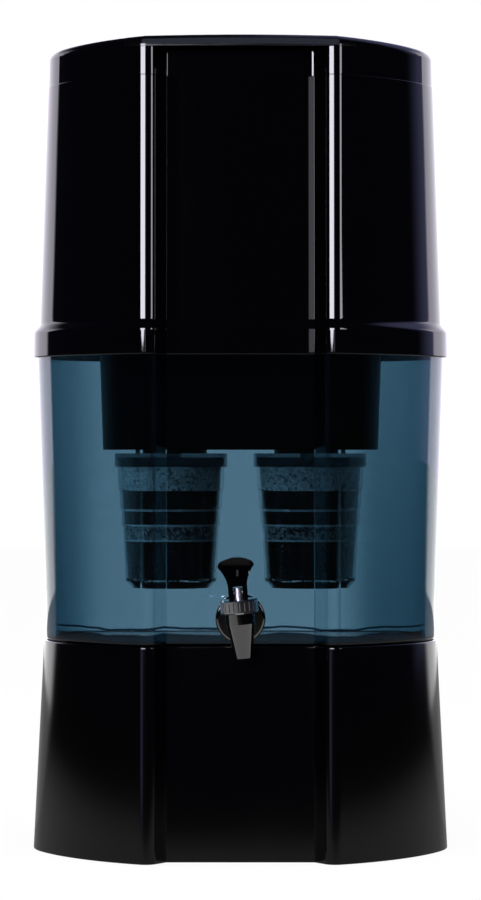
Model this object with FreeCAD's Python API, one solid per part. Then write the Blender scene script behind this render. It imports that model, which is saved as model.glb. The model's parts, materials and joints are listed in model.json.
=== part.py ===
import FreeCAD, Part
import math
import os

os.makedirs("parts", exist_ok=True)
V = FreeCAD.Vector

# A gravity water filter. A clear lower container stands in a hollow stand, and a black upper
# container with a deep tub sits on its rim. Two cup filters hang under the tub, and a tap
# draws the filtered water. Millimetres, +Z up, -Y is the front, the origin is on the floor
# under the middle of the stand.

# Plan outline at the floor
foot_half_width = 157.0
foot_depth = 229.0
foot_front = 117.0
ridge_x = 69.0
ridge_radius = 9.0
side_radius = 80.0
flank_radius = 180.0
back_side_radius = 200.0
back_corner_radius = 60.0
back_radius = 900.0
recess_depth = 15.4
step_lean = 34.0
recess_corner_radius = 3.0
lip_bulge = 1.6

# Stand
stand_height = 157.6
stand_lean = 0.0508
stand_wall = 2.6
stand_rim_wall = 1.7
stand_deck = 2.7
stand_rim_rise = 2.6
stand_top_round = 1.0
stand_rib_wall = 2.0
stand_rib_depth = 22.0
stand_rib_spacing = 80.0

# Lower container
container_height = 231.0
container_lean = 0.0334
container_wall = 3.0
container_corner = 6.0
container_inner_corner = 4.0
container_seat_gap = 0.5
corner_bands = 4

# Upper container
collar_drop = 15.0
collar_step = 3.3
collar_gap = 0.5
collar_lean = 0.012
collar_round = 3.2
shoulder_rise = 11.5
shoulder_step = 5.0
shoulder_bands = 5
vessel_height = 189.7
vessel_lean = 0.0338
vessel_wall = 3.0
vessel_deck = 3.0

# Tub under the upper container
tub_half_length = 105.2
tub_half_depth = 62.0
tub_depth = 84.5
tub_lean = 0.032
tub_corner = 24.0
tub_wall = 2.5
tub_floor = 3.0

# Lid
lid_height = 29.4
lid_step = 0.4
lid_lean = 0.016
lid_wall = 2.8
lid_top = 3.0
lid_round = 7.5
crown_radius = 3200.0
lid_ring_drop = 8.0
lid_ring_wall = 2.0
lid_ring_gap = 0.5
ledge_drop = 9.1
ledge_wall = 2.5

# Hatch in the lid
hatch_front_half_width = 87.0
hatch_side_flare = 10.0
hatch_straight = 10.0
hatch_hinge_y = 24.0
hatch_gap = 0.5
hatch_floor_gap = 0.3
hatch_wall = 2.6
hatch_top = 3.4
hatch_barrel_radius = 4.2
hatch_hinge_gap = 0.9
hatch_pin_radius = 1.5
hatch_pin_length = 15.0
hatch_pin_gap = 0.1
hatch_boss_radius = 3.4
hatch_boss_length = 6.0
fill_ledge = 11.0

# Filters
filter_x = 52.6
filter_gasket_radius = 27.0
filter_gasket_height = 2.7
filter_cap_radius = 42.75
filter_cap_height = 10.2
filter_cap_wall = 1.6
filter_cap_top = 3.0
filter_cap_gap = 0.15
filter_cup_height = 98.8
filter_cup_lean = 0.046
filter_cup_wall = 2.0
filter_cup_floor = 2.4
filter_cup_corner = 5.0
filter_cup_step = 0.7
filter_stem_radius = 10.0
filter_stem_bore = 6.0
filter_stem_gap = 0.4
filter_stem_above = 15.0
nut_radius = 16.0
nut_height = 7.0
nut_lugs = 4
nut_lug_reach = 24.0
nut_lug_width = 7.0
strainer_radius = 15.0
strainer_height = 16.0
strainer_wall = 1.8
strainer_slots = 12
strainer_slot_width = 2.4
drain_holes = 8
drain_hole_radius = 2.2
drain_circle_radius = 20.0
bed_gap = 0.15

# Filter layers, named by their height from the cup's rim down
granular_height = 18.0
upper_carbon_height = 13.9
felt_height = 1.6
middle_carbon_height = 9.9
mineral_height = 9.7
headspace = 7.2

# Tap
tap_rise = 20.4
tap_roll = 5.0
tap_reach = 26.0
shank_radius = 7.8
shank_bore = 4.4
shank_gap = 0.45
shank_inside = 15.0
flange_radius = 18.3
flange_thickness = 4.2
outer_gasket_radius = 15.5
gasket_thickness = 2.0
inner_gasket_radius = 14.0
lock_nut_radius = 15.0
lock_nut_height = 7.0
neck_radius = 8.2
barrel_radius = 10.7
barrel_shoulder = 5.6
barrel_taper_start = 2.0
barrel_thread_radius = 10.1
barrel_thread_height = 6.4
chamber_radius = 8.0
valve_seat_drop = 6.0
valve_seat_wall = 2.6
valve_seat_bore = 3.6
spout_drop = 26.9
spout_radius = 6.15
spout_bore = 4.6
bonnet_radius = 13.7
bonnet_height = 10.1
bonnet_gap = 0.1
bonnet_floor_gap = 0.2
bonnet_top = 2.4
bonnet_flutes = 24
bonnet_flute_radius = 0.9
stem_radius = 3.1
stem_hole_gap = 0.15
cup_radius = 7.6
cup_plug_radius = 5.4
cup_height = 9.0
lever_pin_height = 5.0
lever_pin_radius = 1.5
lever_pin_gap = 0.05
lever_heel = 5.5
lever_floor_gap = 0.2
lever_width = 14.0
lever_slot_gap = 0.25
lever_head_gap = 1.2
stem_head = 3.2
lever_neck_rise = 10.9
paddle_height = 19.6
paddle_half_width = 13.2
paddle_wide_rise = 13.2
paddle_thickness = 9.0
paddle_bow = 1.1
paddle_dome = 3.0
paddle_dome_half = 11.25
paddle_corner_bow = 0.52
paddle_hollow_radius = 24.0
paddle_hollow_depth = 2.6

# Worked out from the sizes above
foot_back = foot_depth - foot_front
stand_top_half = foot_half_width - stand_lean * stand_height
container_z = stand_height - stand_rim_rise
container_foot_half = stand_top_half - stand_rim_wall - container_seat_gap
container_top = container_z + container_height
collar_z = container_top - collar_drop
container_collar_half = container_foot_half + container_lean * (collar_z - stand_height)
collar_half = container_collar_half + collar_step
vessel_z = container_top + shoulder_rise
vessel_foot_half = collar_half - shoulder_step
vessel_top = container_top + vessel_height
lid_half = vessel_foot_half - vessel_lean * (vessel_top - vessel_z) - lid_step
lid_top_z = vessel_top + lid_height
ledge_z = lid_top_z - ledge_drop
tub_floor_z = container_top - tub_depth
hinge_z = ledge_z + hatch_floor_gap + hatch_barrel_radius
panel_slope = math.degrees(math.atan(container_lean))
tap_z = stand_height + tap_rise


def circle_crossing(c1, r1, c2, r2, near):
    """Where two circles cross, the crossing that lies nearer to a given point."""
    dx = c2[0] - c1[0]
    dy = c2[1] - c1[1]
    d = math.hypot(dx, dy)
    along = (r1 * r1 - r2 * r2 + d * d) / (2 * d)
    off = math.sqrt(r1 * r1 - along * along)
    mid = (c1[0] + along * dx / d, c1[1] + along * dy / d)
    pair = [
        (mid[0] - off * dy / d, mid[1] + off * dx / d),
        (mid[0] + off * dy / d, mid[1] - off * dx / d),
    ]
    return min(pair, key=lambda p: math.hypot(p[0] - near[0], p[1] - near[1]))


def on_circle(centre, towards, radius):
    """The point on a circle in the direction of another point."""
    d = math.hypot(towards[0] - centre[0], towards[1] - centre[1])
    return (
        centre[0] + radius * (towards[0] - centre[0]) / d,
        centre[1] + radius * (towards[1] - centre[1]) / d,
    )


def half_outline(half_width, inset, lip):
    """The right half of the plan outline, front to back, as arcs and lines.

    A narrower half width draws the front and back in by as much. An inset keeps the same
    centres, so it gives a wall of even thickness. The lip closes the front recess with a
    bulged line from ridge to ridge. Each arc is (start, end, centre, radius).
    """
    draw_in = foot_half_width - half_width
    front = foot_front - draw_in
    back = foot_back - draw_in
    ridge = (ridge_x, ridge_radius - front)
    side = (half_width - side_radius, 0.0)
    rear_side = (half_width - back_side_radius, 0.0)
    rear = (0.0, back - back_radius)
    flank = circle_crossing(
        side, flank_radius - side_radius, ridge, flank_radius - ridge_radius, (0.0, back)
    )
    corner = circle_crossing(
        rear_side,
        back_side_radius - back_corner_radius,
        rear,
        back_radius - back_corner_radius,
        (half_width, back),
    )
    ridge_r = ridge_radius - inset
    side_end = (half_width - inset, 0.0)
    flank_start = on_circle(flank, ridge, flank_radius - inset)
    flank_end = on_circle(flank, side, flank_radius - inset)
    corner_start = on_circle(rear_side, corner, back_side_radius - inset)
    corner_end = on_circle(rear, corner, back_radius - inset)
    if lip:
        crest = (ridge_x, inset - front)
        lip_radius = (ridge_x**2 + lip_bulge**2) / (2 * lip_bulge)
        lip_centre = (0.0, inset - front - lip_bulge + lip_radius)
        pieces = [((0.0, inset - front - lip_bulge), crest, lip_centre, lip_radius)]
        pieces.append((crest, flank_start, ridge, ridge_r))
    else:
        lean = math.radians(step_lean)
        normal = (-math.cos(lean), -math.sin(lean))
        wall_start = (ridge[0] + ridge_r * normal[0], ridge[1] + ridge_r * normal[1])
        fillet = recess_corner_radius + inset
        panel_y = recess_depth - front + inset
        rise = fillet - (panel_y - fillet - wall_start[1]) * normal[1]
        centre = (wall_start[0] + rise / normal[0], panel_y - fillet)
        wall_end = (centre[0] - fillet * normal[0], centre[1] - fillet * normal[1])
        foot = (centre[0], panel_y)
        pieces = [
            ((0.0, panel_y), foot, None, 0.0),
            (foot, wall_end, centre, fillet),
            (wall_end, wall_start, None, 0.0),
            (wall_start, flank_start, ridge, ridge_r),
        ]
    pieces.append((flank_start, flank_end, flank, flank_radius - inset))
    pieces.append((flank_end, side_end, side, side_radius - inset))
    pieces.append((side_end, corner_start, rear_side, back_side_radius - inset))
    pieces.append((corner_start, corner_end, corner, back_corner_radius - inset))
    pieces.append((corner_end, (0.0, back - inset), rear, back_radius - inset))
    return pieces


def outline_wire(z, half_width, inset=0.0, lip=False):
    """The whole plan outline as a closed wire at one height."""
    right = half_outline(half_width, inset, lip)
    edges = []

    def add(start, end, centre, radius, side):
        a = V(side * start[0], start[1], z)
        b = V(side * end[0], end[1], z)
        if centre is None:
            edges.append(Part.LineSegment(a, b).toShape())
            return
        middle = ((start[0] + end[0]) / 2, (start[1] + end[1]) / 2)
        m = on_circle(centre, middle, radius)
        edges.append(Part.Arc(a, V(side * m[0], m[1], z), b).toShape())

    first = right[0]
    last = right[-1]
    if first[2] is None:
        edges.append(
            Part.LineSegment(V(-first[1][0], first[1][1], z), V(first[1][0], first[1][1], z)).toShape()
        )
    else:
        edges.append(
            Part.Arc(
                V(-first[1][0], first[1][1], z), V(0, first[0][1], z), V(first[1][0], first[1][1], z)
            ).toShape()
        )
    for start, end, centre, radius in right[1:-1]:
        add(start, end, centre, radius, 1)
    edges.append(
        Part.Arc(
            V(last[0][0], last[0][1], z), V(0, last[1][1], z), V(-last[0][0], last[0][1], z)
        ).toShape()
    )
    for start, end, centre, radius in reversed(right[1:-1]):
        add(end, start, centre, radius, -1)
    return Part.Wire(edges)


def body_between(levels, lip=False):
    """A solid through outlines given as (height, half width, inset)."""
    wires = [outline_wire(z, half, inset, lip) for z, half, inset in levels]
    return Part.makeLoft(wires, True, True)


def tube(radius, bore, base, height, direction=V(0, 0, 1)):
    """A round tube, or a rod where the bore is zero."""
    shape = Part.makeCylinder(radius, height, base, direction)
    if bore > 0:
        shape = shape.cut(Part.makeCylinder(bore, height, base, direction))
    return shape


def turned(points, centre=V(0, 0, 0)):
    """A solid of revolution about Z from (radius, height) points."""
    corners = [V(r, 0, z) for r, z in points]
    face = Part.Face(Part.makePolygon(corners + corners[:1]))
    solid = face.revolve(V(0, 0, 0), V(0, 0, 1), 360)
    solid.translate(centre)
    return solid


def rounded_plate(half_x, half_y, radius, z):
    """A rectangle with round corners as a wire."""
    edges = []
    corners = [(1, -1), (1, 1), (-1, 1), (-1, -1)]
    points = []
    for i, (sx, sy) in enumerate(corners):
        cx = sx * (half_x - radius)
        cy = sy * (half_y - radius)
        start = math.radians(-90 + 90 * i)
        arc = [start + math.radians(45) * k for k in range(3)]
        points.append([V(cx + radius * math.cos(t), cy + radius * math.sin(t), z) for t in arc])
    for i, (a, m, b) in enumerate(points):
        edges.append(Part.Arc(a, m, b).toShape())
        edges.append(Part.LineSegment(b, points[(i + 1) % 4][0]).toShape())
    return Part.Wire(edges)


def save(shape, name):
    """Check one piece and write its file."""
    if shape.ShapeType == "Compound" and len(shape.Solids) == 1:
        shape = shape.Solids[0]
    if not shape.isValid():
        raise ValueError(name + " is not a valid shape")
    shape.exportStep("parts/" + name + ".step")
    print(name, len(shape.Solids), round(shape.Volume / 1000, 2))


def make_stand():
    """Hollow flared stand with a deck, ribs under it and a rim round its top."""
    slope = stand_lean
    top = stand_height - stand_top_round
    shell = body_between([
        (0, foot_half_width, 0),
        (top, foot_half_width - slope * top, 0),
        (stand_height, stand_top_half, stand_top_round),
    ])
    deck_under = container_z - stand_deck
    hollow = body_between([
        (0, foot_half_width, stand_wall),
        (deck_under, foot_half_width - slope * deck_under, stand_wall),
    ])
    rim = body_between([
        (container_z, stand_top_half, stand_rim_wall),
        (stand_height, stand_top_half, stand_rim_wall),
    ])
    stand = shell.cut(hollow).cut(rim)
    rib_z = deck_under - stand_rib_depth
    long_way = 2 * foot_half_width
    ribs = []
    for k in (-1, 0, 1):
        ribs.append(
            Part.makeBox(
                stand_rib_wall,
                long_way,
                stand_rib_depth,
                V(k * stand_rib_spacing - stand_rib_wall / 2, -foot_half_width, rib_z),
            )
        )
    ribs.append(
        Part.makeBox(
            long_way, stand_rib_wall, stand_rib_depth, V(-foot_half_width, -stand_rib_wall / 2, rib_z)
        )
    )
    ribs = ribs[0].multiFuse(ribs[1:])
    return stand.fuse(ribs.common(hollow)).removeSplitter()


def round_foot(z, radius, inset, half_at):
    """Levels that round a bottom edge, from the flat up to the wall."""
    levels = []
    for k in range(corner_bands + 1):
        turn = math.radians(90 * k / corner_bands)
        height = z + radius * (1 - math.cos(turn))
        levels.append((height, half_at(height), inset + radius * (1 - math.sin(turn))))
    return levels


def make_container():
    """Clear open-topped container with round bottom corners and a hole for the tap."""
    top = (container_top, container_half(container_top), 0)
    outer = body_between(round_foot(container_z, container_corner, 0, container_half) + [top])
    floor = container_z + container_wall
    inner_top = (container_top, container_half(container_top), container_wall)
    inner = body_between(
        round_foot(floor, container_inner_corner, container_wall, container_half) + [inner_top]
    )
    reach = 2 * container_wall
    hole = tube(shank_radius + shank_gap, 0, V(0, -reach, 0), 2 * reach, V(0, 1, 0))
    return outer.cut(inner).cut(on_tap(hole))


def container_half(z):
    """Half width of the lower container at a height."""
    return container_foot_half + container_lean * (z - stand_height)


def vessel_half(z):
    """Half width of the upper container's wall at a height."""
    return vessel_foot_half - vessel_lean * (z - vessel_z)


def tub_form(inset, z0, z1):
    """The tub's tapered block between two heights, drawn in by a wall."""
    radius = tub_corner - inset
    wires = []
    for z in (z0, z1):
        shrink = tub_lean * (container_top - z) + inset
        wires.append(rounded_plate(tub_half_length - shrink, tub_half_depth - shrink, radius, z))
    return Part.makeLoft(wires, True, True)


def make_vessel():
    """Upper container: collar, shoulder, wall and a deck with the tub's mouth in it."""
    collar_top = container_top + collar_round
    outer_levels = [(collar_z, collar_half, 0)]
    collar_top_half = collar_half - collar_lean * (collar_top - collar_z)
    outer_levels.append((collar_top, collar_top_half, 0))
    rise = vessel_z - collar_top
    drop = collar_top_half - vessel_foot_half
    for k in range(1, shoulder_bands):
        t = k / shoulder_bands
        outer_levels.append((
            collar_top + rise * t,
            collar_top_half - drop * (3 * t * t - 2 * t * t * t),
            0,
        ))
    outer_levels.append((vessel_z, vessel_foot_half, 0))
    outer_levels.append((vessel_top, vessel_half(vessel_top), 0))
    outer = body_between(outer_levels)
    skirt = body_between([
        (collar_z, container_half(collar_z), -collar_gap),
        (container_top, container_half(container_top), -collar_gap),
    ])
    deck_top = container_top + vessel_deck
    inside = body_between([
        (deck_top, vessel_foot_half, vessel_wall),
        (vessel_z, vessel_foot_half, vessel_wall),
        (vessel_top, vessel_half(vessel_top), vessel_wall),
    ])
    mouth = tub_form(tub_wall, container_top, deck_top)
    return outer.cut(skirt).cut(inside).cut(mouth).removeSplitter()


def make_tub():
    """Deep tub under the deck's mouth, with a hole for each filter's stem."""
    tub = tub_form(0, tub_floor_z, container_top)
    tub = tub.cut(tub_form(tub_wall, tub_floor_z + tub_floor, container_top))
    for x in (-filter_x, filter_x):
        hole = Part.makeCylinder(
            filter_stem_radius + filter_stem_gap, tub_floor, V(x, 0, tub_floor_z)
        )
        tub = tub.cut(hole)
    return tub


def crown():
    """The space under the lid's gently arched top."""
    reach = 2 * foot_half_width
    edge_z = lid_top_z - crown_radius + math.sqrt(crown_radius**2 - reach**2)
    a = V(-reach, -reach, edge_z)
    b = V(reach, -reach, edge_z)
    arc = Part.Arc(a, V(0, -reach, lid_top_z), b).toShape()
    foot = Part.makePolygon([b, V(reach, -reach, 0), V(-reach, -reach, 0), a])
    return Part.Face(Part.Wire([arc] + foot.Edges)).extrude(V(0, 2 * reach, 0))


def lid_half_at(z):
    """Half width of the lid at a height."""
    return lid_half - lid_lean * (z - vessel_top)


def cap_solid():
    """The lid's whole outer form above the ledge, with its round top edge and no recess."""
    plan = Part.Face(outline_wire(ledge_z, lid_half_at(ledge_z), lip=True))
    cap = plan.extrude(V(0, 0, 2 * ledge_drop)).common(crown())
    rim = [e for e in cap.Edges if e.BoundBox.ZMin > ledge_z + lid_top]
    return cap.makeFillet(lid_round, rim)


def flare_block(front_half, z0, z1, y_back, y_front=-foot_front):
    """A block with sides that flare towards the front and run straight near the hinge."""
    flare = math.tan(math.radians(hatch_side_flare))
    front_y = lid_half - foot_half_width + foot_front
    straight_y = min(y_back, hatch_hinge_y - hatch_straight)
    wide = front_half + flare * (-front_y - y_front)
    narrow = front_half - flare * (straight_y + front_y)
    right = [(wide, y_front), (narrow, straight_y)]
    if y_back > straight_y:
        right.append((narrow, y_back))
    corners = [V(x, y, z0) for x, y in right] + [V(-x, y, z0) for x, y in reversed(right)]
    return Part.Face(Part.makePolygon(corners + corners[:1])).extrude(V(0, 0, z1 - z0))


def hatch_back_half():
    """Half width of the hatch at its hinge."""
    flare = math.tan(math.radians(hatch_side_flare))
    front_y = lid_half - foot_half_width + foot_front
    return hatch_front_half_width - flare * (hatch_hinge_y - hatch_straight + front_y)


def make_lid(cap):
    """Lid with a skirt, an arched top, a pocket and filling hole for the hatch, and hinge bosses."""
    skirt = body_between([(vessel_top, lid_half, 0), (ledge_z, lid_half_at(ledge_z), 0)])
    lid = skirt.fuse(cap)
    hollow_top = lid_top_z - lid_top - (lid_half**2) / (2 * crown_radius)
    hollow = body_between([
        (vessel_top, lid_half, lid_wall),
        (hollow_top, lid_half_at(hollow_top), lid_wall + lid_round - lid_top),
    ])
    pocket_back = hatch_hinge_y + hatch_barrel_radius + hatch_hinge_gap
    tray = flare_block(
        hatch_front_half_width + hatch_gap + ledge_wall,
        ledge_z - ledge_wall,
        lid_top_z,
        pocket_back + ledge_wall,
    )
    pocket = flare_block(
        hatch_front_half_width + hatch_gap, ledge_z, ledge_z + 2 * ledge_drop, pocket_back
    )
    half = hatch_back_half() + hatch_gap
    bosses = []
    for side in (-1, 1):
        start = V(side * (half + hatch_boss_length), hatch_hinge_y, hinge_z)
        bosses.append(Part.makeCylinder(hatch_boss_radius, hatch_boss_length, start, V(-side, 0, 0)))
    ring_half = vessel_half(vessel_top)
    ring_inset = vessel_wall + lid_ring_gap
    ring = body_between([
        (vessel_top - lid_ring_drop, ring_half, ring_inset),
        (vessel_top + lid_wall, ring_half, ring_inset),
    ]).cut(
        body_between([
            (vessel_top - lid_ring_drop, ring_half, ring_inset + lid_ring_wall),
            (vessel_top + lid_wall, ring_half, ring_inset + lid_ring_wall),
        ])
    )
    panel_y = recess_depth - foot_front + foot_half_width - lid_half
    opening = flare_block(
        hatch_front_half_width - fill_ledge - hatch_wall,
        ledge_z - 2 * ledge_wall,
        lid_top_z,
        hatch_hinge_y - fill_ledge,
        panel_y + lid_wall + fill_ledge,
    )
    body = lid.cut(hollow).fuse(tray.common(lid)).fuse(ring)
    body = body.fuse(bosses[0]).fuse(bosses[1]).cut(pocket).cut(opening)
    body = body.cut(hatch_pin_rods(hatch_pin_radius))
    return body.removeSplitter()


def hatch_pin_rods(radius):
    """The two short rods that the hatch turns on."""
    half = hatch_back_half() + hatch_gap + hatch_boss_length
    rods = []
    for side in (-1, 1):
        start = V(side * half, hatch_hinge_y, hinge_z)
        rods.append(Part.makeCylinder(radius, hatch_pin_length, start, V(-side, 0, 0)))
    return Part.makeCompound(rods)


def make_hatch(cap):
    """Hatch with a deep front lip, a hollow underside and a round barrel at its back edge."""
    bottom = ledge_z + hatch_floor_gap
    plan = flare_block(hatch_front_half_width, bottom, ledge_z + 2 * ledge_drop, hatch_hinge_y)
    hatch = cap.common(plan)
    barrel_half = hatch_back_half()
    barrel = Part.makeCylinder(
        hatch_barrel_radius, 2 * barrel_half, V(-barrel_half, hatch_hinge_y, hinge_z), V(1, 0, 0)
    )
    hollow_plan = flare_block(
        hatch_front_half_width - hatch_wall,
        bottom,
        lid_top_z - hatch_top,
        hatch_hinge_y - hatch_barrel_radius - hatch_wall,
    )
    inner = body_between([
        (bottom, lid_half_at(ledge_z), hatch_wall),
        (lid_top_z, lid_half_at(ledge_z), hatch_wall + lid_round - hatch_top),
    ], lip=True)
    hatch = hatch.cut(hollow_plan.common(inner)).fuse(barrel)
    hatch = hatch.cut(hatch_pin_rods(hatch_pin_radius + hatch_pin_gap))
    return hatch.removeSplitter()


def filter_pieces():
    """The pieces of one filter about its own axis, by name."""
    gasket_z = tub_floor_z - filter_gasket_height
    cap_z = gasket_z - filter_cap_height
    cap_under = gasket_z - filter_cap_top
    stem_top = tub_floor_z + tub_floor + filter_stem_above
    inner_r = filter_cap_radius - filter_cap_wall
    cap = turned([
        (filter_stem_bore, cap_under),
        (inner_r, cap_under),
        (inner_r, cap_z),
        (filter_cap_radius, cap_z),
        (filter_cap_radius, gasket_z),
        (filter_stem_radius, gasket_z),
        (filter_stem_radius, stem_top),
        (filter_stem_bore, stem_top),
    ])
    gasket = tube(
        filter_gasket_radius, filter_stem_radius, V(0, 0, gasket_z), filter_gasket_height
    )
    nut_z = tub_floor_z + tub_floor
    nut = tube(nut_radius, 0, V(0, 0, nut_z), nut_height)
    for k in range(nut_lugs):
        lug = Part.makeBox(
            nut_lug_reach, nut_lug_width, nut_height, V(0, -nut_lug_width / 2, nut_z)
        )
        lug.rotate(V(0, 0, 0), V(0, 0, 1), 360 * (k + 0.5) / nut_lugs)
        nut = nut.fuse(lug)
    nut = nut.cut(Part.makeCylinder(filter_stem_radius, nut_height, V(0, 0, nut_z))).removeSplitter()
    strainer_z = nut_z + nut_height
    strainer = turned([
        (filter_stem_radius, strainer_z),
        (strainer_radius, strainer_z),
        (strainer_radius, strainer_z + strainer_height - strainer_wall),
        (strainer_radius - strainer_wall, strainer_z + strainer_height),
        (0, strainer_z + strainer_height),
        (0, strainer_z + strainer_height - strainer_wall),
        (strainer_radius - strainer_wall, strainer_z + strainer_height - strainer_wall),
        (strainer_radius - strainer_wall, strainer_z + strainer_wall),
        (filter_stem_radius, strainer_z + strainer_wall),
    ])
    slot_height = strainer_height - 4 * strainer_wall
    for k in range(strainer_slots // 2):
        slot = Part.makeBox(
            4 * strainer_radius,
            strainer_slot_width,
            slot_height,
            V(-2 * strainer_radius, -strainer_slot_width / 2, strainer_z + 2 * strainer_wall),
        )
        slot.rotate(V(0, 0, 0), V(0, 0, 1), 360 * k / strainer_slots)
        core = Part.makeCylinder(
            strainer_radius - strainer_wall, strainer_height, V(0, 0, strainer_z)
        )
        strainer = strainer.cut(slot.cut(core))

    cup_top = cap_under
    cup_bottom = cup_top - filter_cup_height
    outer_top = inner_r - filter_cap_gap

    def outer_at(z):
        steps = sum(1 for s in step_levels if z < s)
        return outer_top - filter_cup_lean * (cup_top - z) - filter_cup_step * steps

    def inner_at(z):
        drop = (cup_top - z) / filter_cup_height
        return outer_top - filter_cup_wall - (outer_top - outer_at(cup_bottom)) * drop

    granular_top = cup_top - headspace
    granular_z = granular_top - granular_height
    upper_z = granular_z - upper_carbon_height
    felt_a = upper_z - felt_height
    middle_z = felt_a - middle_carbon_height
    felt_b = middle_z - felt_height
    mineral_z = felt_b - mineral_height
    felt_c = mineral_z - felt_height
    floor_z = cup_bottom + filter_cup_floor
    step_levels = [granular_z, upper_z, felt_b]
    thin = 0.01
    outer_points = [(outer_at(cup_bottom) - filter_cup_corner, cup_bottom)]
    outer_points.append((outer_at(cup_bottom), cup_bottom + filter_cup_corner))
    for s in sorted(step_levels):
        outer_points.append((outer_at(s - thin), s))
        outer_points.append((outer_at(s + thin), s + filter_cup_step))
    outer_points.append((outer_top, cup_top))
    inner_points = [
        (inner_at(cup_top), cup_top),
        (inner_at(floor_z + filter_cup_corner), floor_z + filter_cup_corner),
        (inner_at(floor_z + filter_cup_corner) - filter_cup_corner, floor_z),
    ]
    cup = turned([(0, cup_bottom)] + outer_points + inner_points + [(0, floor_z)])
    for k in range(drain_holes):
        turn = 2 * math.pi * k / drain_holes
        spot = V(
            drain_circle_radius * math.cos(turn), drain_circle_radius * math.sin(turn), cup_bottom
        )
        cup = cup.cut(Part.makeCylinder(drain_hole_radius, filter_cup_floor, spot))

    def bed(z0, z1):
        low = inner_at(z0) - bed_gap
        high = inner_at(z1) - bed_gap
        return Part.makeCone(low, high, z1 - z0, V(0, 0, z0))

    corner_z = floor_z + filter_cup_corner
    low_bed_points = [
        (0, floor_z),
        (inner_at(corner_z) - filter_cup_corner - bed_gap, floor_z),
        (inner_at(corner_z) - bed_gap, corner_z),
        (inner_at(felt_c) - bed_gap, felt_c),
        (0, felt_c),
    ]
    felts = [bed(felt_a, upper_z), bed(felt_b, middle_z), bed(felt_c, mineral_z)]
    return {
        "cap": cap,
        "gasket": gasket,
        "nut": nut,
        "strainer": strainer,
        "cup": cup,
        "granular_bed": bed(granular_z, granular_top),
        "upper_carbon": bed(upper_z, granular_z),
        "middle_carbon": bed(middle_z, felt_a),
        "mineral_band": bed(mineral_z, felt_b),
        "lower_carbon": turned(low_bed_points),
        "felt_discs": Part.makeCompound(felts),
    }


def panel_point():
    """The middle of the tap's seat on the front panel."""
    half = container_half(tap_z)
    return V(0, recess_depth - foot_front + foot_half_width - half, tap_z)


def on_tap(shape):
    """Move a tap piece from its own frame to the front panel.

    In its own frame the tap's shank lies along Y from the panel's face at zero, and Z is up.
    """
    shape = shape.copy()
    shape.rotate(V(0, 0, 0), V(0, 1, 0), -tap_roll)
    shape.rotate(V(0, 0, 0), V(1, 0, 0), panel_slope)
    shape.translate(panel_point())
    return shape


def tap_stack():
    """Heights in the tap's own frame that several pieces share."""
    bonnet_z = barrel_shoulder + bonnet_floor_gap
    bonnet_top_z = bonnet_z + bonnet_height
    pin_z = bonnet_top_z + lever_floor_gap + lever_pin_height
    return bonnet_z, bonnet_top_z, pin_z


def make_tap_body():
    """Flange, shank, neck, barrel with its valve seat, and spout in one moulding."""
    axis = V(0, -tap_reach, 0)
    flange_y = -gasket_thickness - flange_thickness
    shank_length = gasket_thickness + container_wall + shank_inside
    shank = Part.makeCylinder(shank_radius, shank_length, V(0, -gasket_thickness, 0), V(0, 1, 0))
    flange = Part.makeCylinder(flange_radius, flange_thickness, V(0, flange_y, 0), V(0, 1, 0))
    front = [e for e in flange.Edges if abs(e.BoundBox.YMax - flange_y) < 0.01 and e.Length > 1]
    flange = flange.makeFillet(flange_thickness / 2, [e for e in front if e.Closed])
    neck = Part.makeCylinder(neck_radius, tap_reach + flange_y, V(0, -tap_reach, 0), V(0, 1, 0))
    under_bonnet = Part.makeBox(
        2 * neck_radius,
        tap_reach,
        neck_radius + barrel_shoulder,
        V(-neck_radius, -tap_reach, -neck_radius),
    )
    neck = neck.common(under_bonnet)
    thread_top = barrel_shoulder + barrel_thread_height
    barrel = turned([
        (0, -spout_drop),
        (spout_radius, -spout_drop),
        (barrel_radius, -barrel_taper_start),
        (barrel_radius, barrel_shoulder),
        (barrel_thread_radius, barrel_shoulder),
        (barrel_thread_radius, thread_top),
        (0, thread_top),
    ], axis)
    seat_under = -valve_seat_drop - valve_seat_wall
    chamber = turned([
        (0, -spout_drop),
        (spout_bore, -spout_drop),
        (spout_bore, seat_under),
        (valve_seat_bore, seat_under),
        (valve_seat_bore, -valve_seat_drop),
        (chamber_radius, -valve_seat_drop),
        (chamber_radius, thread_top),
        (0, thread_top),
    ], axis)
    bore = Part.makeCylinder(
        shank_bore, tap_reach + container_wall + shank_inside, V(0, -tap_reach, 0), V(0, 1, 0)
    )
    body = shank.multiFuse([flange, neck, barrel]).cut(chamber).cut(bore)
    return body.removeSplitter()


def make_bonnet():
    """Fluted ring that screws over the barrel and guides the stem."""
    bonnet_z, bonnet_top_z, _ = tap_stack()
    edge = bonnet_flute_radius
    ring = turned([
        (barrel_thread_radius + bonnet_gap, bonnet_z),
        (bonnet_radius - edge, bonnet_z),
        (bonnet_radius, bonnet_z + edge),
        (bonnet_radius, bonnet_top_z - edge),
        (bonnet_radius - edge, bonnet_top_z),
        (stem_radius + stem_hole_gap, bonnet_top_z),
        (stem_radius + stem_hole_gap, bonnet_top_z - bonnet_top),
        (barrel_thread_radius + bonnet_gap, bonnet_top_z - bonnet_top),
    ])
    for k in range(bonnet_flutes):
        turn = 2 * math.pi * k / bonnet_flutes
        spot = V(
            (bonnet_radius + edge / 2) * math.cos(turn),
            (bonnet_radius + edge / 2) * math.sin(turn),
            bonnet_z + 2 * edge,
        )
        ring = ring.cut(Part.makeCylinder(edge, bonnet_height - 4 * edge, spot))
    ring.translate(V(0, -tap_reach, 0))
    return ring


def make_stem():
    """Valve stem with the hole for the lever's pin."""
    _, _, pin_z = tap_stack()
    bottom = -valve_seat_drop + cup_height / 3
    stem = tube(stem_radius, 0, V(0, -tap_reach, bottom), pin_z + stem_head - bottom)
    return stem.cut(lever_pin_rod(lever_pin_radius))


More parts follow.
